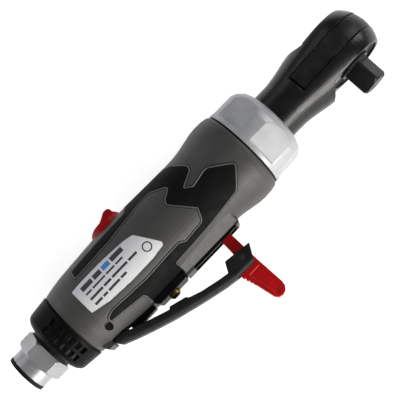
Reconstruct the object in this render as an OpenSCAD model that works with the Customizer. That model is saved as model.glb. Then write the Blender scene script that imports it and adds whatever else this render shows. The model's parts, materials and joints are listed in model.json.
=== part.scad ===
// Air ratchet wrench, 1/2 inch drive, lying on its side.
// +X runs along the tool from the air inlet to the head, the trigger and the anvil point to -Y,
// and the label side faces up, to +Z. The origin is the centre of the air inlet's mouth.

/* [Body] */
// Where the grey housing starts, just in front of the exhaust cap
body_start = 37.3; // [37:0.1:38]
// Where the housing ends, behind the clamp collar
body_end = 167; // [166.5:0.1:167]
// Bore that holds the air motor
motor_bore_r = 20; // [20:0.05:20.2]
// Thickness of the soft grip that lies in the housing
grip_depth = 1.2; // [0.8:0.1:1.4]

/* [Trigger] */
// Trigger hinge, along X
trigger_x = 50.7; // [50.5:0.1:51]
// Trigger hinge, along Y
trigger_y = -16.6; // [-16.8:0.1:-16.4]
// Radius of the trigger's hinge pin
trigger_pin_r = 2.1; // [2:0.05:2.1]
// Half the width of the trigger lever
trigger_half_w = 7; // [6.5:0.1:7]
// Safety lever hinge, along X
safety_x = 125.3; // [125:0.1:125.6]
// Safety lever hinge, along Y
safety_y = -41.8; // [-42:0.1:-41.6]
// Half the thickness of the safety lever
safety_half_w = 3.6; // [3:0.1:3.6]

/* [Throttle] */
// Position along X of the throttle valve and of the air regulator
valve_x = 86.4; // [86:0.1:87]
// Radius of the valve pin
valve_pin_r = 3.4; // [3:0.05:3.4]
// How far the valve pin's tip stands from the tool's axis
valve_tip = 30; // [29.5:0.1:30.2]
// Radius of the regulator's disc
regulator_r = 10.3; // [9.5:0.1:10.4]

/* [Motor] */
// Radius of the rotor
rotor_r = 14.3; // [13.5:0.1:14.3]
// Radius of the motor's eccentric bore
chamber_r = 16; // [16:0.1:16.2]
// How far that bore is set off from the rotor
chamber_shift = 1.6; // [1.4:0.1:1.6]
// Number of rotor vanes
vane_count = 5; // [4:1:6]

/* [Gears] */
// Gear module
gear_module = 0.8; // [0.8:0.05:0.8]
// Teeth of the rotor's pinion
sun_teeth = 12; // [12:1:12]
// Teeth of each planet gear
planet_teeth = 15; // [15:1:15]
// Gap left between mating teeth
gear_play = 0.09; // [0.06:0.01:0.12]

/* [Ratchet head] */
// Anvil axis, along X
anvil_x = 243.5; // [243:0.1:244]
// Radius of the round head
head_r = 22.1; // [21.5:0.1:22.3]
// Back face of the head, along Y
head_back = 14.8; // [14.5:0.1:15]
// Anvil face of the head, along Y
head_front = -12.8; // [-13:0.1:-12.6]
// Width across the flats of the square drive
drive_af = 12.7; // [12.6:0.05:12.75]
// End of the square drive, along Y
drive_tip = -28; // [-29:0.1:-27.5]
// Angle at which the square drive stands
drive_turn = 42; // [0:1:89]
// Throw of the crank pin
crank_throw = 2.2; // [1.8:0.1:2.2]
// Teeth inside the ratchet yoke
yoke_teeth = 48; // [36:2:48]

/* [Hidden] */
$fn = 48;

// Outline of the housing as [x, radius]
body_profile = [
    [body_start, 20.9], [43, 22], [49.2, 22.8], [60, 23.5], [76, 24.4], [97, 24.4], [119, 23.9],
    [130, 23.7], [138, 24], [143.2, 24.6], [148.7, 25.7], [153.5, 26.6], [157.4, 26.95],
    [162.3, 26.8], [165.6, 26.2], [body_end, 25.4]
];
// Outline of the soft grip, seen from the label side, as [x, y]
grip_outline = [
    [57, 17.6], [81.6, 18.7], [97.4, 19.1], [101.1, 22.2], [101.1, 30], [129.4, 30], [129.4, 22.2],
    [132.3, 19.9], [138.8, 11.2], [137.9, 8.8], [129.5, 4.9], [128.9, 3.8], [133, 0.6],
    [142.9, 2.3], [144.9, 2], [155.5, -6.2], [156, -7.2], [147, -15.9], [123.3, -17.8],
    [98.3, -18.8], [97.7, -30], [76, -30], [76, -20.5], [75, -18.3], [53.4, -15.6], [54.5, -14],
    [58.2, -13.1], [81.8, -14.6], [106.6, -13.8], [110.2, -15.7], [122.7, -14.8], [124.2, -13.9],
    [127.2, -8.3], [126.7, -7.6], [117, 4.4], [118.1, 6.6], [123.9, 10.1], [123.4, 11.9],
    [114.7, 17.3], [107.9, 17.3], [100, 16], [81.8, 13.7], [56.4, 13]
];
// Outline of the label plate, seen from its own side, as [x, y]
label_outline = [
    [49.9, 8.8], [56.1, 9.1], [71.6, 8.9], [87.1, 7.7], [93.2, 6.4], [101.4, -7.3], [100.4, -9],
    [92.2, -9.9], [76.8, -10.1], [61.4, -9.1], [50.1, -6.7]
];
// Side view of the trigger lever's wide part, as [x, y]
trigger_outline = [
    [45.6, -22.3], [46.1, -24.3], [47.8, -26.8], [54.7, -29.8], [65.3, -33.8], [75.9, -37.4],
    [86.5, -40.4], [97.1, -43.2], [107.7, -45.7], [116.2, -47.1], [127.4, -47.5], [128.5, -45.6],
    [133.1, -38.2], [116.8, -36], [113.6, -41.5], [107.7, -40.4], [97.1, -37.9], [90.2, -35.4],
    [89.1, -34], [79.6, -31.3], [78.6, -32.4], [75.8, -31.5], [65.2, -27.7], [57.3, -24.9],
    [54, -23.2], [50.7, -22.3]
];
// Side view of the lever's hinge lug, as [x, y]
lug_outline = [
    [45.6, -22.3], [46.4, -15], [48.2, -13.2], [53, -13], [55, -15], [55.6, -24.5], [53, -28],
    [46.5, -24.5]
];
// Side view of the channel in the lever behind the valve pad, as [x, y]
rear_channel_outline = [
    [55.8, -20], [55.8, -28.1], [65.9, -31.8], [76.5, -35.4], [78.5, -35.9], [78.5, -20]
];
// Side view of the channel in front of the valve pad, as [x, y]
front_channel_outline = [
    [91, -30], [91, -39.6], [97.6, -41.2], [108.1, -43.7], [115.8, -45], [115.8, -30]
];
// Side view of the safety lever, as [x, y]
safety_outline = [
    [123.4, -27], [124.6, -25.7], [128.6, -25.7], [129.8, -27], [129.8, -47], [130.4, -64.6],
    [129.9, -67.2], [128.2, -69.3], [125.6, -70], [123, -69.2], [121.6, -67], [119.6, -57],
    [117.2, -49], [117.2, -46.8], [119.2, -45], [122.2, -44], [122.8, -38], [123.2, -33]
];

// Side view of the room cut out of the housing above the trigger lever, as [x, y]
lever_notch = [[45.2, -30], [45.2, -21.9], [54, -21.9], [60, -23.2], [74, -24.8], [74, -30]];
// Radius of the neck that carries the exhaust cap
neck_r = 12.5;
// Place of the trigger's return spring
spring_x = 60.8;
// Ends of the motor's pieces along X
motor_start = 98.5;
cylinder_start = 105.5;
cylinder_end = 137.5;
motor_end = 145.9;
gear_end = 158;
// Where the collar clamps the head's flange
flange_end = 170;
// Clearance of a shaft that turns in its hole
running = 0.05;
// Ring gear teeth follow from the other two gears
ring_teeth = sun_teeth + 2 * planet_teeth;
planet_orbit = gear_module * (sun_teeth + planet_teeth) / 2;
pressure_angle = 25;
addendum = 0.8;
dedendum = 1.05;
// Slot in the head that holds the yoke
slot_low = -4.6;
slot_high = 7;
slot_start = 211;
// Radius inside the yoke's teeth
yoke_tip_r = 12.4;
yoke_root_r = 13.6;

// ---- helpers ----

// Cylinder along X
module xcyl(x0, x1, r) {
    translate([x0, 0, 0]) rotate([0, 90, 0]) cylinder(h = x1 - x0, r = r);
}

// Cylinder along Y, at a place x along the tool
module ycyl(x, y0, y1, r) {
    translate([x, y1, 0]) rotate([90, 0, 0]) cylinder(h = y1 - y0, r = r);
}

// Cylinder along Z, centred on the tool's middle plane
module zcyl(x, y, half, r) {
    translate([x, y, -half]) cylinder(h = 2 * half, r = r);
}

// Tube along X
module xtube(x0, x1, r_out, r_in) {
    difference() {
        xcyl(x0, x1, r_out);
        xcyl(x0 - 1, x1 + 1, r_in);
    }
}

// Tube along Y
module ytube(x, y0, y1, r_out, r_in) {
    difference() {
        ycyl(x, y0, y1, r_out);
        ycyl(x, y0 - 1, y1 + 1, r_in);
    }
}

// Solid of revolution about X from [x, radius] points
module turned(points) {
    rotate([0, 90, 0]) rotate_extrude() polygon([for (p = points) [p[1], p[0]]]);
}

// Plate of a side view, centred on the tool's middle plane
module plate(points, half) {
    translate([0, 0, -half]) linear_extrude(height = 2 * half) polygon(points);
}

// Box from its limits along each axis, centred on z = 0
module block(x0, x1, y0, y1, half) {
    translate([x0, y0, -half]) cube([x1 - x0, y1 - y0, 2 * half]);
}

// The housing's outer shape, grown outwards by d
module body_shape(d) {
    turned(concat([[body_start, 0]], [for (p = body_profile) [p[0], p[1] + d]], [[body_end, 0]]));
}

// A skin of the housing between two depths
module body_skin(outer, inner) {
    difference() {
        body_shape(outer);
        body_shape(inner);
    }
}

// Coil spring standing on z = 0
module coil(radius, wire, turns, length) {
    steps = turns * 12;
    sides = 6;
    rings = [
        for (i = [0:steps]) for (j = [0:sides - 1])
            let (a = 30 * i, b = 360 * j / sides, reach = radius + wire * cos(b))
            [reach * cos(a), reach * sin(a), wire * (1 + sin(b)) + (length - 2 * wire) * i / steps]
    ];
    walls = [
        for (i = [0:steps - 1]) for (j = [0:sides - 1])
            let (k = (j + 1) % sides, low = i * sides, high = low + sides)
            [low + j, low + k, high + k, high + j]
    ];
    first = [for (j = [sides - 1:-1:0]) j];
    last = [for (j = [0:sides - 1]) steps * sides + j];
    polyhedron(points = rings, faces = concat([first], walls, [last]));
}

// Half the angle of a gear tooth at radius r, for teeth of n with thickness change t
function involute(a) = tan(a) * 180 / PI - a;
function tooth_angle(n, r, t) =
    let (pitch_r = gear_module * n / 2, base_r = pitch_r * cos(pressure_angle))
    90 / n + t / pitch_r * 90 / PI + involute(pressure_angle)
        - (r > base_r ? involute(acos(base_r / r)) : 0);

// Outline of a gear with a tooth on the +X axis
function gear_points(n, low_r, high_r, t) = [
    for (i = [0:n - 1]) for (side = [-1, 1]) for (k = [0:3])
        let (step = side < 0 ? k : 3 - k, r = low_r + (high_r - low_r) * step / 3,
             a = 360 * i / n + side * tooth_angle(n, r, t))
        [r * cos(a), r * sin(a)]
];

// Gear along X with a tooth pointing down
module gear(n, x0, x1) {
    pitch_r = gear_module * n / 2;
    translate([x0, 0, 0]) rotate([0, 90, 0])
        linear_extrude(height = x1 - x0)
            polygon(gear_points(n, pitch_r - dedendum * gear_module,
                                pitch_r + addendum * gear_module, -gear_play));
}

// Disc with n pointed teeth, lying across the anvil's axis
module toothed_disc(n, tip_r, root_r, y0, y1) {
    translate([anvil_x, y1, 0]) rotate([90, 0, 0]) linear_extrude(height = y1 - y0)
        polygon([for (i = [0:2 * n - 1])
            let (r = i % 2 == 0 ? tip_r : root_r) [r * cos(180 * i / n), r * sin(180 * i / n)]]);
}

// Ball bearing as its two races and the ring of balls between them, along X
module ball_bearing(x0, x1, r_out, r_in) {
    middle = (r_out + r_in) / 2;
    ball_r = (r_out - r_in) * 0.3;
    xtube(x0, x1, r_out, middle + ball_r * 0.6);
    xtube(x0, x1, middle - ball_r * 0.6, r_in);
    for (i = [0:7])
        rotate([45 * i, 0, 0]) translate([(x0 + x1) / 2, middle, 0]) sphere(r = ball_r);
}

// ---- housing ----

// The keel under the housing, which guides the trigger and the safety lever
module keel() {
    plate([[40, -15], [40, -21.5], [41.6, -24.4], [45.2, -24.6], [45.2, -15]], 8);
    block(74, 76.4, -25.4, -15, 8);
    plate([[97.7, -15], [97.7, -27.4], [136.2, -27.4], [137.7, -26.2], [138.2, -24.6],
           [138.2, -15]], 7.8);
    for (side = [-1, 1])
        translate([98.3, 0, 0]) rotate([90, 0, 90]) linear_extrude(height = 38.9)
            polygon([[-25.9, 7.5 * side], [-24.1, 9.2 * side], [-21.9, 11.2 * side],
                     [-19.6, 13.2 * side], [-18, 11 * side], [-18, 7.5 * side]]);
}

// Room for the trigger, its hinge and the safety lever's toe
module trigger_room() {
    block(44.8, 58, -30, -12, 5.2);
    plate(lever_notch, 30);
    block(57.8, 74, -30, -19, 4.6);
    block(104, 135.5, -30, -21.5, 3.9);
    block(103.5, 134.7, -30, -25.9, 10);
    zcyl(trigger_x, trigger_y, 30, trigger_pin_r);
}

// Air ways, the valve's bore and the motor's bore
module housing_bores() {
    xcyl(20, 38, 9.45);
    xcyl(37, valve_x, 5);
    xcyl(valve_x, motor_start + 1, 5);
    for (side = [-1, 1])
        translate([0, 0, 15.5 * side]) xcyl(body_start - 1, motor_start + 1, 2.6);
    ycyl(valve_x, -24, 21, 8);
    ycyl(valve_x, 20.6, 30, regulator_r + 0.4);
    xcyl(motor_start, body_end + 1, motor_bore_r);
    xcyl(152, body_end + 1, 22.5);
}

module housing() {
    color("#5d5c58") difference() {
        union() {
            body_shape(0);
            xcyl(20.5, body_start + 1, neck_r);
            keel();
        }
        housing_bores();
        trigger_room();
        block(76, 97.7, -30, -20.5, 8.5);
        intersection() {
            body_skin(1, -grip_depth);
            plate(grip_outline, 30);
        }
        intersection() {
            body_skin(1, -0.9);
            translate([0, 0, 10]) linear_extrude(height = 20) polygon(label_outline);
        }
        for (groove = [[44.2, 22.5], [49, 23.1]])
            zcyl(groove[0], groove[1], 9, 0.7);
    }
}

module grip_inlay() {
    color("#1b1b1b") difference() {
        intersection() {
            body_skin(0.15, -grip_depth);
            plate(grip_outline, 30);
        }
        block(76, 97.7, -30, -20.5, 8.5);
        plate(lever_notch, 30);
        ycyl(valve_x, 20, 30, regulator_r + 0.4);
        zcyl(trigger_x, trigger_y, 30, trigger_pin_r + 1);
    }
}

module label_plate() {
    color("#c9c9cf") intersection() {
        body_skin(-0.3, -0.9);
        translate([0, 0, 10]) linear_extrude(height = 20) polygon(label_outline);
    }
}

module valve_boss() {
    color("#141414") difference() {
        plate([[76, -20.5], [76, -25.6], [77.6, -27.2], [96.2, -27.2], [97.7, -25.6],
               [97.7, -20.5]], 8.5);
        ycyl(valve_x, -30, -15, valve_pin_r + running);
        ycyl(valve_x, -22, -15, 8);
    }
}

module trigger_liner() {
    color("#101010") difference() {
        block(57.8, 74, -26.6, -19, 4.6);
        ycyl(spring_x, -30, -20.4, 2.2);
    }
}

// Wear strips on both sides of the slot for the safety lever
module rail_strips() {
    color("#101010") for (side = [-1, 1])
        translate([103.5, -27.5, side * 5.3 - 1.3]) cube([31.2, 1.6, 2.6]);
}

// ---- exhaust and inlet ----

cap_outline = [
    [20.8, 12.6], [20.8, 15], [21.6, 17.2], [23, 19.2], [24.6, 20], [36.3, 21.2], [36.3, 18.9],
    [24.4, 18.6], [23.6, 17.6], [23.6, 12.6]
];

module exhaust_cap() {
    color("#202021") difference() {
        turned(cap_outline);
        for (side = [0, 180]) for (column = [-2.5:1:2.5]) for (x = [26.7, 32.3])
            rotate([17.6 + side + 12.5 * column, 0, 0])
                translate([x - 1.8, -1.6, 15]) cube([3.6, 3.2, 10]);
    }
}

module muffler() {
    color("#6f6f66") xtube(24.6, body_start, 18.2, neck_r);
}

module inlet_bushing() {
    hex_r = 12.5 / cos(30);
    color("#a9a9b0") difference() {
        union() {
            xcyl(0, 2.4, 9.5);
            xcyl(2.4, 9.6, 11.4);
            intersection() {
                rotate([10.5 + 30, 0, 0]) rotate([0, 90, 0])
                    translate([0, 0, 9.4]) cylinder(h = 9.3, r = hex_r, $fn = 6);
                turned([[9.4, 0], [9.4, 13.1], [10.8, 14.5], [17.3, 14.5], [18.7, 13.1], [18.7, 0]]);
            }
            xcyl(18.6, 37, 9.4);
        }
        xcyl(-1, 14, 5.9);
        xcyl(13, 40, 4.5);
        xcyl(14, 15.2, 5.2);
        for (x = [12.2, 15.8])
            xtube(x - 0.25, x + 0.25, 16, 14);
    }
}

module inlet_ring() {
    color("#1a1a1a") xtube(0.3, 2.4, 11.5, 9.5);
}

module inlet_screen() {
    color("#8d8d90") difference() {
        xcyl(14, 15.2, 5.2);
        for (y = [-3:1.5:3]) for (z = [-3:1.5:3])
            translate([13, y - 0.45, z - 0.45]) cube([4, 0.9, 0.9]);
    }
}

module inlet_seal() {
    color("#161616") xtube(18.7, 20.5, 12.4, 9.4);
}

// ---- clamp collar ----

module clamp_collar() {
    color("#b4b4ba") difference() {
        turned([[155, 20.05], [155, 22.4], [168, 22.4], [168, 25.3], [183.5, 25.2], [186.8, 23.8],
                [189.6, 21.2], [191, 18.2], [191.5, 15], [flange_end, 15], [flange_end, 20.05]]);
        for (i = [0:5])
            rotate([30 + 60 * i, 0, 0]) translate([170.6, -14, 23.4]) cube([16.6, 28, 6]);
    }
}

module collar_seal() {
    color("#121212") xtube(body_end, 168, 24.6, 22.4);
}

// ---- motor ----

module motor_cylinder() {
    color("#8f9196") difference() {
        xcyl(cylinder_start, cylinder_end, motor_bore_r);
        translate([0, 0, chamber_shift]) xcyl(cylinder_start - 1, cylinder_end + 1, chamber_r);
        for (x = [112:6:130])
            translate([x, 0, 0]) rotate([90, 0, 0]) cylinder(h = 60, r = 1.2, center = true);
    }
}

module rear_end_plate() {
    color("#8a8a8e") difference() {
        xcyl(motor_start, cylinder_start, motor_bore_r);
        xcyl(motor_start - 1, cylinder_start - 1, 9.5);
        xcyl(motor_start, cylinder_start + 1, 3.3);
        for (side = [-1, 1])
            translate([0, 0, 15.5 * side]) xcyl(motor_start - 1, cylinder_start + 1, 2.6);
    }
}

module front_end_plate() {
    color("#8a8a8e") difference() {
        xcyl(cylinder_end, motor_end, motor_bore_r);
        xcyl(motor_end - 6, motor_end + 1, 12);
        xcyl(cylinder_end - 1, motor_end, 6.9);
    }
}

module rear_bearing() {
    color("#c0c2c6") ball_bearing(motor_start, motor_start + 6, 9.5, 3);
}

module front_bearing() {
    color("#c0c2c6") ball_bearing(motor_end - 6, motor_end, 12, 6.5);
}

module rotor() {
    color("#7c7e84") difference() {
        union() {
            xcyl(cylinder_start + 0.15, cylinder_end - 0.15, rotor_r);
            xcyl(motor_start + 0.3, cylinder_start + 1, 3 - running / 2);
            xcyl(cylinder_end - 1, motor_end + 0.2, 6.5 - running / 2);
            gear(sun_teeth, motor_end, 156);
        }
        for (i = [0:vane_count - 1])
            rotate([360 * i / vane_count, 0, 0])
                block(cylinder_start - 1, cylinder_end - 0.1, 7, 20, 0.85);
    }
}

module rotor_vanes() {
    color("#b08a4a") for (i = [0:vane_count - 1])
        rotate([360 * i / vane_count, 0, 0])
            block(cylinder_start + 0.2, cylinder_end - 0.4, 7.2, rotor_r - 0.2, 0.8);
}

// ---- planetary gear ----

module ring_gear() {
    pitch_r = gear_module * ring_teeth / 2;
    color("#84868c") difference() {
        xcyl(motor_end, gear_end, motor_bore_r);
        translate([motor_end - 1, 0, 0]) rotate([0, 90, 0]) linear_extrude(height = 20)
            polygon(gear_points(ring_teeth, pitch_r - addendum * gear_module,
                                pitch_r + dedendum * gear_module, gear_play));
    }
}

// The place of planet i around the pinion
module at_planet(i) {
    rotate([120 * i, 0, 0]) translate([0, 0, -planet_orbit]) children();
}

module planet_gear(i) {
    color("#9b9da3") at_planet(i) difference() {
        gear(planet_teeth, 147, 155.8);
        xcyl(146, 157, 2 + running);
    }
}

module planet_pins() {
    color("#c4c6ca") for (i = [0:2])
        at_planet(i) xcyl(146.8, 159.2, 2);
}

module crankshaft() {
    color("#85878d") difference() {
        union() {
            xcyl(156.2, 159.2, 15.4);
            xcyl(159, 176, 8 - running);
            xcyl(175.9, 195.5, 7);
            translate([0, 0, crank_throw]) xcyl(195, 205, 2.2);
        }
        for (i = [0:2])
            at_planet(i) xcyl(155, 160, 2);
    }
}

module crank_bearing() {
    color("#c0c2c6") xtube(160.4, 175.5, 11, 8);
}

module thrust_washer() {
    color("#a5a7ac") xtube(159.5, 160.2, 14.5, 8.4);
}

module drive_bushing() {
    color("#9a9ca2") translate([0, 0, crank_throw]) xtube(196.5, 203.5, 3.5, 2.2 + running);
}

// ---- ratchet head ----

// Plain outside of the head: neck, shoulder and round end, flattened at the back
module head_shape() {
    round_end = [for (a = [107 : -6 : 0]) [anvil_x + head_r * cos(a), head_r * sin(a)]];
    intersection() {
        turned(concat([[gear_end, 0], [gear_end, motor_bore_r], [flange_end, motor_bore_r],
                       [flange_end, 14.8], [202, 14.9], [207, 15.5], [212, 16.4],
                       [217.2, 17.5], [220.5, 18], [226, 18.8], [232, 20]],
                      round_end, [[anvil_x + head_r, 0]]));
        plate([[gear_end - 1, -30], [gear_end - 1, 30], [219, 30], [219, 18.6], [221.5, 18],
               [224.5, 16.4], [226.5, 15.3], [229, 14.2], [231, head_back], [280, head_back],
               [280, -30]], 40);
    }
}

module ratchet_housing() {
    color("#17171a") difference() {
        head_shape();
        ycyl(anvil_x, -40, head_front, head_r - 0.6);
        xcyl(gear_end - 1, 160.2, 16);
        xcyl(160, 175.5, 11);
        xcyl(175, 181, 9);
        xcyl(180, 226, 13);
        block(slot_start, 280, slot_low, slot_high, 40);
        ycyl(anvil_x, -9.4, slot_low + 1, 12 + running);
        ycyl(anvil_x, -40, -9.3, 15);
        ycyl(anvil_x, -40, -10.7, 16.6);
        ycyl(anvil_x, slot_high - 1, 40, 9 + running);
    }
}

module ratchet_yoke() {
    gap = 7.95;
    color("#232326") difference() {
        union() {
            intersection() {
                translate([anvil_x, 0, 0]) sphere(r = head_r - 0.4);
                block(200, 280, slot_low + 0.3, slot_high - 0.3, 30);
            }
            translate([0, slot_high - 0.3, 0]) rotate([90, 0, 0])
                linear_extrude(height = slot_high - slot_low - 0.6)
                    polygon([[anvil_x, 20.4], [anvil_x, -20.4], [232, -18.4], [slot_start + 1.1, -14.6],
                             [slot_start + 1.1, 14.6], [232, 18.4]]);
            block(196.5, 216, slot_low + 0.3, 4.4, gap + 1.7);
        }
        block(190, 215, -10, 10, gap);
        toothed_disc(yoke_teeth, yoke_root_r, yoke_tip_r, -10, 20);
    }
}

module anvil() {
    half = drive_af / 2;
    color("#1c1c1e") translate([anvil_x, 0, 0]) rotate([0, -drive_turn, 0])
    difference() {
        union() {
            ycyl(0, -9.2, slot_low, 12);
            ycyl(0, slot_low, slot_high, 11.6);
            ycyl(0, slot_high, head_back - 0.2, 9);
            ycyl(0, -12.9, -9, 9.6);
            intersection() {
                block(-half, half, drive_tip, -12, half);
                rotate([90, 0, 0]) rotate_extrude()
                    polygon([[0, 10], [8.2, 10], [8.2, -1.6 - drive_tip], [6.8, -drive_tip],
                             [0, -drive_tip]]);
            }
        }
        block(-13, -2.2, -3.6, 5.6, 9.4);
        ycyl(0, -3, 20, 3.55);
        ycyl(0, 12.6, 20, 7.05);
        translate([-6.5, 0, 0]) ycyl(0, -8.5, 8.5, 1.8);
        translate([0, -22.5, -half + 3.9]) rotate([180, 0, 0]) cylinder(h = 10, r = 1.65);
    }
}

// Puts a piece in the anvil's own frame
module on_anvil() {
    translate([anvil_x, 0, 0]) rotate([0, -drive_turn, 0]) children();
}

module retaining_ring() {
    color("#2c2c30") ytube(anvil_x, -10.6, -9.35, 15, 10.1);
}

module detent_ball() {
    color("#c8cace") on_anvil() translate([0, -22.5, -drive_af / 2 + 0.9]) sphere(r = 1.6);
}

module detent_spring() {
    color("#9a9ca0") on_anvil() translate([0, -22.5, -drive_af / 2 + 2.6]) coil(1.1, 0.13, 2, 1.2);
}

module pawl() {
    color("#8b8d93") on_anvil() translate([-6.5, 0, 0]) rotate([0, -5, 0]) translate([6.5, 0, 0])
    difference() {
        intersection() {
            translate([-anvil_x, 0, 0]) toothed_disc(yoke_teeth, 11.7, 10.8, -3.5, 5.5);
            block(-13, -4.5, -3.5, 5.5, 8.7);
        }
        ycyl(-6.5, -10, 10, 1.8 + running);
    }
}

module pawl_pin() {
    color("#c4c6ca") on_anvil() ycyl(-6.5, -8.5, 8.5, 1.8);
}

module reverse_dial() {
    color("#26262a") on_anvil() rotate([0, 30, 0]) difference() {
        union() {
            ycyl(0, -2.8, 13, 3.5);
            ycyl(0, 12.7, 16, 7);
        }
        block(-9, 9, 14.9, 20, 0.9);
        translate([-5, 1, 0]) rotate([0, 90, 0]) cylinder(h = 8, r = 1.3);
    }
}

module dial_plunger() {
    color("#c4c6ca") on_anvil() rotate([0, 30, 0]) {
        translate([-3.3, 1, 0]) rotate([0, 90, 0]) cylinder(h = 2.6, r = 1.25);
        translate([-3.3, 1, 0]) sphere(r = 0.9);
    }
}

module plunger_spring() {
    color("#9a9ca0") on_anvil() rotate([0, 30, 0])
        translate([-0.6, 1, 0]) rotate([0, 90, 0]) coil(0.85, 0.2, 4, 3.5);
}

// ---- throttle valve and regulator ----

module valve_bushing() {
    color("#b9924a") difference() {
        ycyl(valve_x, -22, 6, 8);
        ycyl(valve_x, -23, 5, 5);
        ycyl(valve_x, 4, 7, 2);
        for (x = [valve_x - 9, valve_x + 3])
            xcyl(x, x + 6, 3);
    }
}

module valve_pin() {
    color("#9c8a3c") {
        ycyl(valve_x, 1.2 - valve_tip, -12, valve_pin_r);
        translate([valve_x, 1.2 - valve_tip, 0]) rotate([90, 0, 0])
            cylinder(h = 1.2, r1 = valve_pin_r, r2 = 1.9);
        ycyl(valve_x, -12.5, -10, 4.9);
    }
}

module valve_oring() {
    color("#141414") ytube(valve_x, -14.2, -12.5, 4.9, valve_pin_r);
}

module valve_spring() {
    color("#9a9ca0") translate([valve_x, 5, 0]) rotate([90, 0, 0]) coil(3.6, 0.5, 6, 15);
}

module regulator_knob() {
    color("#b01015") intersection() {
        union() {
            ycyl(valve_x, 20.8, 25.4, regulator_r);
            plate([[76.2, 25], [78.3, 26.5], [81, 27.5], [85.4, 28], [88.1, 29.3], [90.6, 30.7],
                   [93, 30.7], [94.3, 29.7], [94.7, 27.2], [96.6, 25]], 4.2);
        }
        ycyl(valve_x, 20, 32, regulator_r);
    }
}

module regulator_spool() {
    color("#b9924a") difference() {
        ycyl(valve_x, 7, 20.8, 7.6);
        ycyl(valve_x, 15, 17, 9);
    }
    color("#b9924a") ycyl(valve_x, 15, 17, 6.4);
}

module regulator_oring() {
    color("#141414") ytube(valve_x, 15, 17, 7.9, 6.4);
}

// ---- trigger and safety lever ----

module trigger_lever() {
    color("#191919") difference() {
        union() {
            plate(trigger_outline, trigger_half_w);
            plate(lug_outline, 4.9);
        }
        plate(rear_channel_outline, 5);
        plate(front_channel_outline, 5);
        block(115.7, 140, -60, -30, safety_half_w + 0.2);
        zcyl(trigger_x, trigger_y, 20, trigger_pin_r + running);
        zcyl(safety_x, safety_y, 20, 1.5);
    }
}

module trigger_pin() {
    color("#8f9094") zcyl(trigger_x, trigger_y, 12.6, trigger_pin_r);
}

module trigger_spring() {
    color("#9a9ca0") translate([spring_x, -20.5, 0]) rotate([90, 0, 0]) coil(1.5, 0.3, 5, 8.4);
}

module safety_lever() {
    color("#b8121a") difference() {
        plate(safety_outline, safety_half_w);
        zcyl(safety_x, safety_y, 10, 1.5 + running);
        translate([safety_x, safety_y, -1.7]) cylinder(h = 8, r = 3.2);
        for (i = [0:7])
            zcyl(117.85 + 0.44 * i, -50 - 2.2 * i, 10, 0.5);
        for (side = [-1, 1])
            translate([0, 0, side * (safety_half_w + 0.4)])
                plate([[120.8, -50], [128.3, -50], [128.6, -64.4], [127.4, -67], [125.6, -67.9],
                       [123.8, -66.8], [122.6, -60]], 0.8);
    }
}

module safety_pin() {
    color("#8f9094") zcyl(safety_x, safety_y, trigger_half_w - 0.6, 1.5);
}

module safety_spring() {
    color("#9a9ca0") translate([safety_x, safety_y, -1.4]) coil(2.4, 0.35, 5, 4.8);
}

housing();
grip_inlay();
label_plate();
valve_boss();
trigger_liner();
rail_strips();
exhaust_cap();
muffler();
inlet_bushing();
inlet_ring();
inlet_screen();
inlet_seal();
clamp_collar();
collar_seal();
motor_cylinder();
rear_end_plate();
front_end_plate();
rear_bearing();
front_bearing();
rotor();
rotor_vanes();
ring_gear();
crankshaft();
planet_pins();
planet_gear(0);  // planet_gear_1
planet_gear(1);  // planet_gear_2
planet_gear(2);  // planet_gear_3
crank_bearing();
thrust_washer();
drive_bushing();
ratchet_housing();
ratchet_yoke();
anvil();
retaining_ring();
detent_ball();
detent_spring();
pawl();
pawl_pin();
reverse_dial();
dial_plunger();
plunger_spring();
valve_bushing();
valve_pin();
valve_oring();
valve_spring();
regulator_knob();
regulator_spool();
regulator_oring();
trigger_lever();
trigger_pin();
trigger_spring();
safety_lever();
safety_pin();
safety_spring();
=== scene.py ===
"""Looks of the air ratchet: materials, softened edges, label print, floor, lights and camera.

Everything is in the frame's own axes and in metres. Lists of points are in millimetres.
"""

import json
import math

import bmesh
import bpy
from mathutils import Matrix, Vector


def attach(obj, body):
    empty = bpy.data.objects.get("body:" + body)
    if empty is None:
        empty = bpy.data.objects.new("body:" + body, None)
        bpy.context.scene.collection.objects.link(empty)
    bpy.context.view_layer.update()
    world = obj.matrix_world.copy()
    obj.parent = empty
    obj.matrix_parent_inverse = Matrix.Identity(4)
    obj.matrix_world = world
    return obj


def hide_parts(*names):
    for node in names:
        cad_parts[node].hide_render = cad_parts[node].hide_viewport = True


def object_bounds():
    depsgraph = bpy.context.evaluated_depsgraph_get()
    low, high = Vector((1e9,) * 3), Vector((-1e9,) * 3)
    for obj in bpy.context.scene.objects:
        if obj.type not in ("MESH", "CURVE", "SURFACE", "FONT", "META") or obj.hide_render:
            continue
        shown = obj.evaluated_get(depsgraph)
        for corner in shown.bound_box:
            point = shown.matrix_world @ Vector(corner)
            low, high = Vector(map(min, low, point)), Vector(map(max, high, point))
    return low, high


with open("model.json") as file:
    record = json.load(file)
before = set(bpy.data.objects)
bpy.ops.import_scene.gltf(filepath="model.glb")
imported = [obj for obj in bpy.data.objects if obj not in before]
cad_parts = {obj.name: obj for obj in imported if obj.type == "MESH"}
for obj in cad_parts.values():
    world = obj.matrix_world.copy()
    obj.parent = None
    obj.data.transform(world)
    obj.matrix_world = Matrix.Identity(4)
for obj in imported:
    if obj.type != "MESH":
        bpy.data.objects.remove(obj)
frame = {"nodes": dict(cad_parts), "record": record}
cad_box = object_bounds()
NODES = frame["nodes"]
MM = 0.001

# Outline of the grey housing as (x, radius)
BODY_PROFILE = [
    (37.3, 20.9), (43, 22), (49.2, 22.8), (60, 23.5), (76, 24.4), (97, 24.4), (119, 23.9),
    (130, 23.7), (138, 24), (143.2, 24.6), (148.7, 25.7), (153.5, 26.6), (157.4, 26.95),
    (162.3, 26.8), (165.6, 26.2), (167, 25.4),
]
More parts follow.
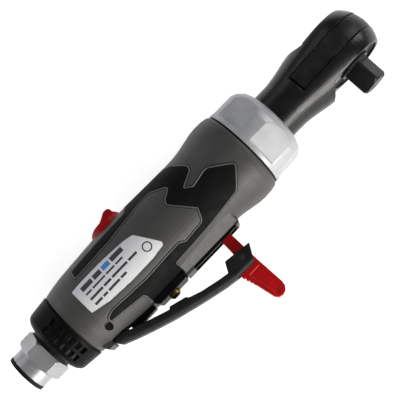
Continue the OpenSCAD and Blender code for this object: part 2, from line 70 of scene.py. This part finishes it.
# Front edge of the soft grip as (x, y), from the back of the tool round to the valve
GRIP_FRONT = [
    (129.4, 99), (129.4, 22.2), (132.3, 19.9), (138.8, 11.2), (137.9, 8.8), (129.5, 4.9),
    (128.9, 3.8), (133, 0.6), (142.9, 2.3), (144.9, 2), (155.5, -6.2), (156, -7.2), (147, -15.9),
    (123.3, -17.8), (98.3, -18.8), (98, -20.3),
]
# Rear and inner edge of the soft grip, from the valve round to the back of the tool
GRIP_REAR = [
    (76, -20.3), (75, -18.3), (53.4, -15.6), (54.5, -14), (58.2, -13.1), (81.8, -14.6),
    (106.6, -13.8), (110.2, -15.7), (122.7, -14.8), (124.2, -13.9), (127.2, -8.3), (126.7, -7.6),
    (117, 4.4), (118.1, 6.6), (123.9, 10.1), (123.4, 11.9), (114.7, 17.3), (107.9, 17.3),
    (100, 16), (81.8, 13.7), (56.4, 13), (57, 17.6), (81.6, 18.7), (97.4, 19.1), (101.1, 22.2),
    (101.1, 99),
]

# Half the widths of the raised line round the soft grip (painted lighter, a painted highlight) and of the
# dark line beside it (painted shade in place of a groove)
LIP_RADIUS = 0.42
SHADE_LINE_RADIUS = 0.2
# How far their middles lie under the housing's radius
LIP_SINK = 0.08
SHADE_LINE_SINK = 0.12
# Spacing of their points and how often these are averaged
GRIP_LINE_STEP = 0.5
GRIP_LINE_ROUNDS = 3
# Underside of the trigger lever as (x, y), half its width and the radius of its lower edges
LEVER_UNDERSIDE = [
    (45.6, -22.3), (46.1, -24.3), (47.8, -26.8), (54.7, -29.8), (65.3, -33.8), (75.9, -37.4),
    (86.5, -40.4), (97.1, -43.2), (107.7, -45.7), (116.2, -47.1), (127.4, -47.5),
]
LEVER_HALF_WIDTH = 7.0
LEVER_EDGE_RADIUS = 3.0
# How much further than the radius a point may lie from the underside and still be rounded
LEVER_EDGE_REACH = 0.5
# Share of the faces kept after softening
KEPT_FACES = 0.5


# ---- materials ----

class Nodes:
    """A Principled material and the few nodes that its patterns use."""

    def __init__(self, name):
        self.mat = bpy.data.materials.new(name)
        self.mat.use_nodes = True
        self.tree = self.mat.node_tree
        self.shader = self.tree.nodes["Principled BSDF"]
        self.place = self.tree.nodes.new("ShaderNodeTexCoord").outputs["Object"]

    def add(self, kind, **values):
        node = self.tree.nodes.new(kind)
        for key, value in values.items():
            setattr(node, key, value)
        return node

    def link(self, a, b):
        self.tree.links.new(a, b)

    def stretched(self, stretch):
        """Object coordinates multiplied by stretch along each axis."""
        node = self.add("ShaderNodeMapping")
        node.inputs["Scale"].default_value = stretch
        self.link(self.place, node.inputs["Vector"])
        return node.outputs["Vector"]

    def noise(self, size, detail=3.0, stretch=(1, 1, 1), rough=0.55):
        """Noise with features of the given size in millimetres."""
        node = self.add("ShaderNodeTexNoise")
        node.inputs["Scale"].default_value = 1 / (size * MM)
        node.inputs["Detail"].default_value = detail
        node.inputs["Roughness"].default_value = rough
        self.link(self.stretched(stretch), node.inputs["Vector"])
        return node.outputs["Fac"]

    def cells(self, size):
        """Rounded cells of the given size in millimetres."""
        node = self.add("ShaderNodeTexVoronoi")
        node.inputs["Scale"].default_value = 1 / (size * MM)
        self.link(self.place, node.inputs["Vector"])
        return node.outputs["Distance"]

    def spread(self, value, low, high, start=0.35, end=0.65):
        """Value mapped from start..end to low..high."""
        node = self.add("ShaderNodeMapRange")
        for key, number in (("From Min", start), ("From Max", end), ("To Min", low), ("To Max", high)):
            node.inputs[key].default_value = number
        self.link(value, node.inputs["Value"])
        return node.outputs["Result"]

    def mix(self, factor, a, b):
        """Colour a at factor 0 and colour b at factor 1; each is a colour or a socket."""
        node = self.add("ShaderNodeMix", data_type="RGBA")
        self.link(factor, node.inputs["Factor"])
        for index, colour in ((6, a), (7, b)):
            if isinstance(colour, tuple):
                node.inputs[index].default_value = (*colour, 1)
            else:
                self.link(colour, node.inputs[index])
        return node.outputs[2]

    def edges(self, start, end):
        """1 on worn convex edges, 0 elsewhere."""
        return self.spread(self.add("ShaderNodeNewGeometry").outputs["Pointiness"], 0, 1, start, end)

    def bump(self, height, depth, under=None):
        """Height in 0..1 as relief of depth millimetres, on top of the normal under."""
        node = self.add("ShaderNodeBump")
        node.inputs["Distance"].default_value = depth * MM
        self.link(height, node.inputs["Height"])
        if under is not None:
            self.link(under, node.inputs["Normal"])
        return node.outputs["Normal"]

    def finish(self, colour, rough, normal, metal=0.0, **constants):
        """Links the patterns to the shader; constants are the shader's own sockets."""
        self.link(colour, self.shader.inputs["Base Color"])
        self.link(rough, self.shader.inputs["Roughness"])
        self.link(normal, self.shader.inputs["Normal"])
        self.shader.inputs["Metallic"].default_value = metal
        for key, value in constants.items():
            self.shader.inputs[key.replace("_", " ")].default_value = value
        return self.mat


def grained(name, dark, light, rough, metal=0.0, patch=7.0, grain=0.3, depth=0.012, wear=None,
            spread=0.07, stretch=(1, 1, 1), **constants):
    """A moulded, painted or blasted surface: soft patches of tone, fine grain and rubbed edges."""
    n = Nodes(name)
    colour = n.mix(n.spread(n.noise(patch), 0, 1), dark, light)
    if wear:
        worn_colour, start, end = wear
        colour = n.mix(n.edges(start, end), colour, worn_colour)
    smear = n.spread(n.noise(patch * 0.6, 4, stretch), rough - spread, rough + spread, 0.3, 0.7)
    relief = n.bump(n.noise(patch * 1.6, 2), depth * 3)
    return n.finish(colour, smear, n.bump(n.noise(grain, 2, stretch), depth, relief), metal, **constants)


def machined(name, dark, light, rough, lines, depth=0.004, metal=1.0, **constants):
    """Turned or ground metal: fine lines across the direction in which lines is large."""
    n = Nodes(name)
    streak = n.noise(1.0, 4, lines)
    colour = n.mix(n.spread(streak, 0, 1), dark, light)
    smear = n.spread(n.noise(4, 3), rough - 0.06, rough + 0.08)
    return n.finish(colour, smear, n.bump(n.noise(0.35, 3, lines), depth), metal, **constants)


def rubber(name, dark, light, rough, pebble, depth):
    """Soft rubber: pebbled skin, dull dust in broad patches."""
    n = Nodes(name)
    colour = n.mix(n.spread(n.noise(9, 4), 0, 1), dark, light)
    smear = n.spread(n.noise(5, 3), rough - 0.05, rough + 0.08)
    skin = n.bump(n.cells(pebble), depth)
    return n.finish(colour, smear, n.bump(n.noise(0.2, 2), depth * 0.5, skin), Specular_IOR_Level=0.08)


def felt():
    """Pressed felt: crossed fibres in two tones."""
    n = Nodes("felt")
    fibres = n.noise(0.35, 5, (0.3, 1, 1), 0.7)
    colour = n.mix(n.spread(fibres, 0, 1), (0.02, 0.02, 0.018), (0.05, 0.048, 0.042))
    return n.finish(colour, n.spread(n.noise(2), 0.85, 1.0), n.bump(fibres, 0.15))


TURNED = (6, 0.12, 0.12)
LENGTHWISE = (0.08, 5, 5)
MATERIALS = {
    "body_paint": grained("body_paint", (0.038, 0.0376, 0.0354), (0.044, 0.0435, 0.041), 0.5,
                          grain=0.22, depth=0.006, spread=0.04, Specular_IOR_Level=0.35),
    "soft_grip": rubber("soft_grip", (0.003, 0.003, 0.0031), (0.0042, 0.0042, 0.0044), 0.65, 0.45, 0.02),
    "label_metal": machined("label_metal", (0.56, 0.56, 0.575), (0.64, 0.64, 0.655), 0.5, LENGTHWISE,
                            depth=0.002, metal=0.1),
    "black_plastic": grained("black_plastic", (0.002, 0.002, 0.0021), (0.0035, 0.0035, 0.0037), 0.42,
                             patch=5, grain=0.25, depth=0.008, Specular_IOR_Level=0.06),
    "black_rubber": rubber("black_rubber", (0.006, 0.006, 0.006), (0.011, 0.011, 0.011), 0.55, 0.6, 0.015),
    "felt": felt(),
    "plated_steel": machined("plated_steel", (0.3, 0.3, 0.31), (0.38, 0.38, 0.39), 0.38, TURNED,
                             depth=0.002, metal=0.6),
    "screen_steel": machined("screen_steel", (0.25, 0.25, 0.26), (0.4, 0.4, 0.41), 0.35, (2, 2, 2)),
    "collar_alloy": grained("collar_alloy", (0.33, 0.33, 0.343), (0.38, 0.38, 0.393), 0.45, metal=0.3,
                            patch=9, grain=0.18, depth=0.004, spread=0.04, Specular_IOR_Level=0.3),
    "motor_steel": machined("motor_steel", (0.27, 0.27, 0.28), (0.37, 0.37, 0.39), 0.34, TURNED),
    "bearing_steel": machined("bearing_steel", (0.5, 0.5, 0.52), (0.6, 0.6, 0.62), 0.16, TURNED,
                              depth=0.002),
    "gear_steel": machined("gear_steel", (0.22, 0.22, 0.24), (0.33, 0.33, 0.35), 0.3, (3, 3, 3)),
    "vane_resin": grained("vane_resin", (0.22, 0.13, 0.055), (0.36, 0.23, 0.1), 0.5, patch=2, grain=0.2,
                          stretch=(0.2, 3, 3)),
    "head_black": grained("head_black", (0.003, 0.003, 0.0034), (0.005, 0.005, 0.0055), 0.27,
                          patch=6, grain=0.35, depth=0.004, wear=((0.05, 0.05, 0.052), 0.57, 0.72),
                          stretch=(0.25, 1, 1), spread=0.04, Specular_IOR_Level=0.3),
    "anvil_black": grained("anvil_black", (0.006, 0.006, 0.0062), (0.0115, 0.0115, 0.011), 0.4,
                           patch=4, grain=0.3, depth=0.008, wear=((0.05, 0.05, 0.05), 0.56, 0.7),
                           Specular_IOR_Level=0.2),
    "spring_steel": machined("spring_steel", (0.3, 0.3, 0.32), (0.45, 0.45, 0.47), 0.25, (2, 2, 2)),
    "brass": machined("brass", (0.2, 0.165, 0.05), (0.33, 0.27, 0.09), 0.3, (0.3, 4, 0.3)),
    "red_plastic": grained("red_plastic", (0.32, 0.0015, 0.003), (0.38, 0.002, 0.004), 0.36,
                           patch=8, grain=0.3, depth=0.006, Specular_IOR_Level=0.2),
    "lever_black": grained("lever_black", (0.006, 0.006, 0.0065), (0.0105, 0.0105, 0.0115), 0.5, patch=6,
                           grain=0.3, depth=0.008, wear=((0.03, 0.03, 0.031), 0.56, 0.7),
                           Specular_IOR_Level=0.15),
    # Lighter copy of body_paint for the raised lip round the grip: a painted highlight
    "lip_painted_highlight": grained("lip_painted_highlight", (0.062, 0.061, 0.057), (0.075, 0.074, 0.07), 0.42, grain=0.22,
                         depth=0.004, spread=0.04),
    # Near-black for the thin bar beside the lip: painted shade of a groove
    "groove_painted_shade": grained("groove_painted_shade", (0.006, 0.006, 0.006), (0.01, 0.01, 0.0095), 0.7, grain=0.2,
                            depth=0.004, Specular_IOR_Level=0.1),
    "print_dark": grained("print_dark", (0.02, 0.022, 0.03), (0.035, 0.037, 0.045), 0.5, patch=1.5,
                          grain=0.15, depth=0.004),
    "print_blue": grained("print_blue", (0.03, 0.16, 0.42), (0.045, 0.22, 0.52), 0.45, patch=1.5,
                          grain=0.15, depth=0.004),
}
SLOT_OF = {row["node"]: row["material_slot"] for row in frame["record"]["subparts"]}


def dress(obj, material):
    """Gives every face of obj one material."""
    obj.data.materials.clear()
    obj.data.materials.append(MATERIALS[material])


# ---- geometry ----

def body_radius(x):
    """Radius of the housing at x, both in millimetres."""
    for (x0, r0), (x1, r1) in zip(BODY_PROFILE, BODY_PROFILE[1:]):
        if x <= x1:
            return r0 + (r1 - r0) * max(0.0, (x - x0) / (x1 - x0))
    return BODY_PROFILE[-1][1]


def body_angle(x, y):
    """Angle round the housing of the point over (x, y), 0 at the middle of the label side."""
    return math.asin(max(-1.0, min(1.0, y / body_radius(x))))


def on_body(x, angle, lift, side=1):
    """A point lift millimetres outside the housing, in metres; side=-1 gives the far side."""
    r = body_radius(x) + lift
    return Vector((x, r * math.sin(angle), side * r * math.cos(angle))) * MM


def unrolled(points):
    """(x, y) points as (x, arc length round the housing)."""
    return [Vector((x, body_radius(x) * body_angle(x, y))) for x, y in points]


def resampled(points, step):
    """The same open line with its points about step apart."""
    out = [points[0]]
    for a, b in zip(points, points[1:]):
        count = max(1, round((b - a).length / step))
        out += [a.lerp(b, i / count) for i in range(1, count + 1)]
    return out


def softened(points, rounds):
    """Corners of an open line rounded by averaging, its ends kept."""
    for _ in range(rounds):
        points = [points[0]] + [
            points[i - 1] * 0.25 + points[i] * 0.5 + points[i + 1] * 0.25
            for i in range(1, len(points) - 1)
        ] + [points[-1]]
    return points


def shifted(points, distance):
    """An open line moved sideways by distance, to its left for a positive one."""
    out = []
    for i, p in enumerate(points):
        along = (points[min(i + 1, len(points) - 1)] - points[max(i - 1, 0)]).normalized()
        out.append(p + Vector((-along.y, along.x)) * distance)
    return out


def tube(bm, path, radius, sides=8):
    """Adds a closed round bar along path to bm."""
    rings = []
    for i, p in enumerate(path):
        along = (path[min(i + 1, len(path) - 1)] - path[max(i - 1, 0)]).normalized()
        out = Vector((0, p.y, p.z)).normalized()
        across = along.cross(out).normalized()
        out = across.cross(along)
        rings.append([
            bm.verts.new(p + (across * math.cos(a) + out * math.sin(a)) * radius)
            for a in (2 * math.pi * k / sides for k in range(sides))
        ])
    for low, high in zip(rings, rings[1:]):
        for k in range(sides):
            bm.faces.new((low[k], low[(k + 1) % sides], high[(k + 1) % sides], high[k]))
    bm.faces.new(rings[0][::-1])
    bm.faces.new(rings[-1])


def soften(obj, voxel, rounds, keep=1.0):
    """Rounds off an object's edges: voxels of the given size in millimetres, then smoothing."""
    remesh = obj.modifiers.new("skin", "REMESH")
    remesh.mode = "VOXEL"
    remesh.voxel_size = voxel * MM
    remesh.use_smooth_shade = True
    smooth = obj.modifiers.new("soft", "SMOOTH")
    smooth.factor = 0.5
    smooth.iterations = rounds
    if keep < 1:
        thin = obj.modifiers.new("thin", "DECIMATE")
        thin.ratio = keep


def new_piece(name, bm, material, body, smooth=False):
    """Turns bm into an object that rides on body and takes its finish from material."""
    mesh = bpy.data.meshes.new(name)
    bm.to_mesh(mesh)
    bm.free()
    for face in mesh.polygons:
        face.use_smooth = smooth
    obj = bpy.data.objects.new(name, mesh)
    bpy.context.scene.collection.objects.link(obj)
    dress(obj, material)
    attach(obj, body)
    return obj


def grip_line(name, material, radius, offset, lift):
    """A line round the soft grip on both sides of the housing, offset towards the paint."""
    bm = bmesh.new()
    for points in (GRIP_FRONT, GRIP_REAR):
        line = softened(resampled(unrolled(points), GRIP_LINE_STEP), GRIP_LINE_ROUNDS)
        line = shifted(line, offset)
        for side in (1, -1):
            path = [on_body(x, arc / body_radius(x), lift, side) for x, arc in line]
            tube(bm, path, radius * MM)
    return new_piece(name, bm, material, "housing", smooth=True)


def softened_copy(node, voxel, rounds):
    """A CAD node's mesh with its edges softened, as a new mesh."""
    rough = bpy.data.objects.new("rough", NODES[node].data.copy())
    bpy.context.scene.collection.objects.link(rough)
    soften(rough, voxel, rounds)
    mesh = bpy.data.meshes.new_from_object(rough.evaluated_get(bpy.context.evaluated_depsgraph_get()))
    bpy.data.objects.remove(rough)
    return mesh


def distance_inside(line, point):
    """Distance from point to an open line, how far inside it point lies, and the way inwards."""
    nearest = None
    for p, q in zip(line, line[1:]):
        p, q = Vector(p), Vector(q)
        along = (q - p).normalized()
        inward = Vector((-along.y, along.x))
        foot = p + along * max(0.0, min((q - p).length, (point - p).dot(along)))
        gap = (point - foot).length
        if nearest is None or gap < nearest[0]:
            nearest = (gap, (point - p).dot(inward), inward)
    return nearest


def rounded_lever():
    """The trigger lever with the large radius along its lower edges."""
    mesh = softened_copy("trigger_lever", 0.3, 2)
    radius = LEVER_EDGE_RADIUS
    for vert in mesh.vertices:
        point = Vector((vert.co.x, vert.co.y)) / MM
        inset_z = LEVER_HALF_WIDTH - abs(vert.co.z) / MM
        if inset_z >= radius:
            continue
        gap, inset, inward = distance_inside(LEVER_UNDERSIDE, point)
        if gap > radius + LEVER_EDGE_REACH or inset >= radius:
            continue
        # Points outside the round edge move straight towards its centre, onto the round
        u, v = radius - inset, radius - inset_z
        reach = math.hypot(u, v)
        if reach <= radius:
            continue
        shrink = radius / reach
        point += inward * (u - u * shrink)
        depth = LEVER_HALF_WIDTH - (radius - v * shrink)
        vert.co = Vector((point.x, point.y, math.copysign(depth, vert.co.z))) * MM
    obj = bpy.data.objects.new("lever_body", mesh)
    bpy.context.scene.collection.objects.link(obj)
    thin = obj.modifiers.new("thin", "DECIMATE")
    thin.ratio = KEPT_FACES
    dress(obj, "lever_black")
    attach(obj, "trigger")
    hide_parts("trigger_lever")
    return obj


# Voxel size in millimetres and smoothing rounds for the nodes whose edges are softened
SOFT_EDGES = {
    "housing": (0.32, 2),
    "grip_inlay": (0.35, 3),
    "exhaust_cap": (0.26, 1),
    "inlet_bushing": (0.2, 1),
    "clamp_collar": (0.3, 2),
    "ratchet_housing": (0.35, 4),
    "anvil": (0.25, 3),
    "reverse_dial": (0.2, 2),
    "safety_lever": (0.22, 3),
    "regulator_knob": (0.2, 2),
    "valve_boss": (0.25, 2),
    "rail_strips": (0.25, 1),
    "trigger_liner": (0.3, 3),
    "valve_pin": (0.16, 2),
    "ratchet_yoke": (0.3, 2),
}

for name, obj in NODES.items():
    dress(obj, SLOT_OF[name])
for name, (voxel, rounds) in SOFT_EDGES.items():
    soften(NODES[name], voxel, rounds, KEPT_FACES)
# The lip's lighter paint is a painted highlight on the raised line
grip_line("grip_lip", "lip_painted_highlight", LIP_RADIUS, LIP_RADIUS, -LIP_SINK)
# A dark bar just proud of the paint beside the lip: painted shade standing in for a groove
grip_line("grip_painted_groove_shade", "groove_painted_shade", SHADE_LINE_RADIUS, 2 * LIP_RADIUS + SHADE_LINE_RADIUS, -SHADE_LINE_SINK)
rounded_lever()


# ---- label print ----

# How far under the housing's radius the print's inner side lies, its thickness, and the longest
# side of its faces
PRINT_SINK = 0.32
PRINT_THICKNESS = 0.05
PRINT_STEP = 1.5


def label_quad(bm, corners):
    """Adds a thin printed quadrilateral with the given corners in (x, y) to bm."""
    a, b, c, d = (Vector(p) for p in corners)
    across = max(1, round((b - a).length / PRINT_STEP))
    up = max(1, round((d - a).length / PRINT_STEP))

    def vert(i, j, lift):
        x, y = a.lerp(b, i / across).lerp(d.lerp(c, i / across), j / up)
        return bm.verts.new(on_body(x, body_angle(x, y), lift))

    low, high = (
        [[vert(i, j, lift) for j in range(up + 1)] for i in range(across + 1)]
        for lift in (-PRINT_SINK, -PRINT_SINK + PRINT_THICKNESS)
    )
    for i in range(across):
        for j in range(up):
            bm.faces.new((high[i][j], high[i + 1][j], high[i + 1][j + 1], high[i][j + 1]))
            bm.faces.new((low[i][j], low[i][j + 1], low[i + 1][j + 1], low[i + 1][j]))
        bm.faces.new((low[i][0], low[i + 1][0], high[i + 1][0], high[i][0]))
        bm.faces.new((low[i + 1][up], low[i][up], high[i][up], high[i + 1][up]))
    for j in range(up):
        bm.faces.new((low[0][j + 1], low[0][j], high[0][j], high[0][j + 1]))
        bm.faces.new((low[across][j], low[across][j + 1], high[across][j + 1], high[across][j]))


def label_bar(bm, x0, x1, y, height):
    """Adds a printed bar from x0 to x1, centred on y, to bm."""
    half = height / 2
    label_quad(bm, [(x0, y - half), (x1, y - half), (x1, y + half), (x0, y + half)])


# Printed lines as (y, height, word lengths), each starting at LABEL_START, and the gap between words
LABEL_START = 54.5
LABEL_LINES = [
    (1.9, 1.0, (4, 9, 6, 5)),
    (-1.6, 1.3, (9, 5, 11, 6)),
    (-5.1, 1.3, (5, 3, 8, 4)),
]
LABEL_GAP = 1
# The bold heading: its y and height, and the (start, end) of its dark bars and of its blue one
HEADING_Y = 5.5
HEADING_HEIGHT = 2.8
HEADING_DARK = [(54.5, 62), (63.2, 68.5), (76, 84.5)]
HEADING_BLUE = (69.7, 74.8)
# The plain ring at the label's front end
RING_AT = Vector((94.2, -3.6))
RING_INNER = 2.1
RING_OUTER = 2.8
RING_PARTS = 16

words = bmesh.new()
for y, height, lengths in LABEL_LINES:
    x = LABEL_START
    for length in lengths:
        label_bar(words, x, x + length, y, height)
        x += length + LABEL_GAP
for x0, x1 in HEADING_DARK:
    label_bar(words, x0, x1, HEADING_Y, HEADING_HEIGHT)
for k in range(RING_PARTS):
    a, b = (2 * math.pi * (k + step) / RING_PARTS for step in (0, 1))
    label_quad(words, [
        RING_AT + Vector((math.cos(t), math.sin(t))) * r
        for t, r in ((a, RING_INNER), (a, RING_OUTER), (b, RING_OUTER), (b, RING_INNER))
    ])
bmesh.ops.recalc_face_normals(words, faces=words.faces)
new_piece("label_words", words, "print_dark", "housing")
accent = bmesh.new()
label_bar(accent, *HEADING_BLUE, HEADING_Y, HEADING_HEIGHT)
new_piece("label_accent", accent, "print_blue", "housing")


# ---- floor, light and camera ----

# The floor is a light table: it glows a little, so that it shows white
FLOOR_GLOW = 0.6
# Half the floor's side and its gap under the tool, in metres
FLOOR_HALF = 3.0
FLOOR_GAP = 0.0005


def floor():
    """A pale paper floor just under the tool."""
    z = cad_box[0].z - FLOOR_GAP
    corners = ((-1, -1), (1, -1), (1, 1), (-1, 1))
    bm = bmesh.new()
    bm.faces.new([bm.verts.new((x * FLOOR_HALF, y * FLOOR_HALF, z)) for x, y in corners])
    mesh = bpy.data.meshes.new("floor")
    bm.to_mesh(mesh)
    bm.free()
    obj = bpy.data.objects.new("floor", mesh)
    bpy.context.scene.collection.objects.link(obj)
    n = Nodes("floor_paper")
    colour = n.mix(n.spread(n.noise(40), 0, 1), (0.86, 0.86, 0.86), (0.9, 0.9, 0.9))
    n.shader.inputs["Emission Color"].default_value = (1, 1, 1, 1)
    n.shader.inputs["Emission Strength"].default_value = FLOOR_GLOW
    obj.data.materials.append(n.finish(colour, n.spread(n.noise(3), 0.8, 0.95), n.bump(n.noise(1), 0.01)))


# The camera stands over the middle of the tool, leans a little and is turned: the head points up right
ROLL = math.radians(10.5)
LEAN = math.radians(3.4)
SPIN = math.radians(46.05)
DISTANCE = 0.5408
OVER_X = 0.0998
AXIS_OFFSET = 0.0042


def camera():
    """Makes the camera and returns its right and up directions."""
    down = Vector((0, -math.cos(ROLL), -math.sin(ROLL)))
    towards = Vector((0, -math.sin(ROLL), math.cos(ROLL)))
    along = Vector((1, 0, 0))
    look = (-towards * math.cos(LEAN) + along * math.sin(LEAN) + down * AXIS_OFFSET).normalized()
    forward = along * math.cos(LEAN) + towards * math.sin(LEAN)
    right = forward * math.cos(SPIN) + down * math.sin(SPIN)
    right = (right - look * right.dot(look)).normalized()
    up = right.cross(look)
    data = bpy.data.cameras.new("camera")
    data.lens, data.sensor_width = 90, 36
    data.clip_start, data.clip_end = 0.01, 20
    obj = bpy.data.objects.new("camera", data)
    place = along * OVER_X + towards * DISTANCE
    obj.matrix_world = Matrix((
        (right.x, up.x, -look.x, place.x),
        (right.y, up.y, -look.y, place.y),
        (right.z, up.z, -look.z, place.z),
        (0, 0, 0, 1),
    ))
    bpy.context.scene.collection.objects.link(obj)
    bpy.context.scene.camera = obj
    return right, up


floor()
RIGHT, UP = camera()
MIDDLE = Vector((0.13, -0.01, 0))
TOP = Vector((0, 0, 1))


def studio_light(name, right, up, height, size, power, colour):
    """An area light that far right, up and above the middle of the tool, aimed at it."""
    data = bpy.data.lights.new(name, "AREA")
    data.shape = "RECTANGLE"
    data.size, data.size_y = size
    data.energy = power
    data.color = colour
    obj = bpy.data.objects.new(name, data)
    obj.location = MIDDLE + RIGHT * right + UP * up + TOP * height
    obj.rotation_mode = "QUATERNION"
    obj.rotation_quaternion = (MIDDLE - obj.location).to_track_quat("-Z", "Y")
    bpy.context.scene.collection.objects.link(obj)


studio_light("key", 0.6, -0.62, 0.45, (0.7, 0.4), 12, (1.0, 0.975, 0.93))
studio_light("fill", -0.75, 0.6, 0.5, (0.9, 0.6), 1.5, (0.9, 0.92, 1.0))
studio_light("back", -0.95, -0.1, 0.22, (0.8, 0.3), 3.5, (0.97, 0.98, 1.0))
studio_light("side", 0.7, 0.6, 0.5, (0.6, 0.6), 4.5, (1.0, 1.0, 1.0))

world = bpy.data.worlds.new("studio")
bpy.context.scene.world = world
world.use_nodes = True
sky = world.node_tree.nodes["Background"]
sky.inputs["Color"].default_value = (0.95, 0.96, 1.0, 1)
sky.inputs["Strength"].default_value = 0.2
bpy.context.scene.view_settings.view_transform = "Standard"
